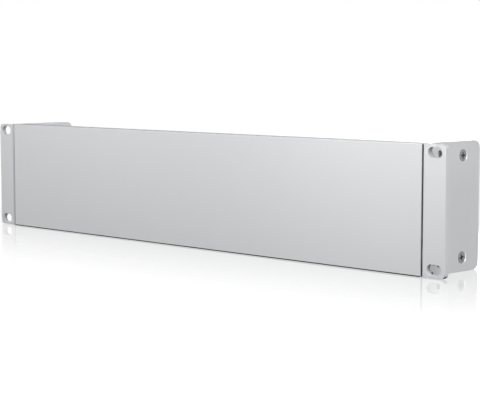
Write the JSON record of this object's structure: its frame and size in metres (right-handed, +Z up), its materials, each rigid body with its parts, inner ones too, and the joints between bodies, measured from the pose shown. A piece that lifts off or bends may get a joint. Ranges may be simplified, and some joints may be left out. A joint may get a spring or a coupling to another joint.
{
  "type": "rack blanking panel",
  "caption": "Rack blanking panel: a folded sheet pan with shallow lips and deep side walls, carried by slotted L-shaped ear brackets on countersunk screws.",
  "frame": {"origin": "centre of the four rack slots, on the plane of the rack's rails, where the rear faces of the ears bear", "axes": "+X to the right seen from the front, +Y to the rear into the rack, +Z up; the front faces look along -Y"},
  "size_m": [0.4826, 0.0628, 0.0876],
  "materials": {
    "panel_paint": "satin light silver grey paint with a very fine grain",
    "bracket_paint": "satin light silver grey paint",
    "screw_steel": "plated steel"
  },
  "bodies": {
    "root": {"front_panel": "panel_paint", "ear_bracket_left": "bracket_paint", "ear_bracket_right": "bracket_paint", "bracket_screws": "screw_steel"}
  },
  "joints": []
}
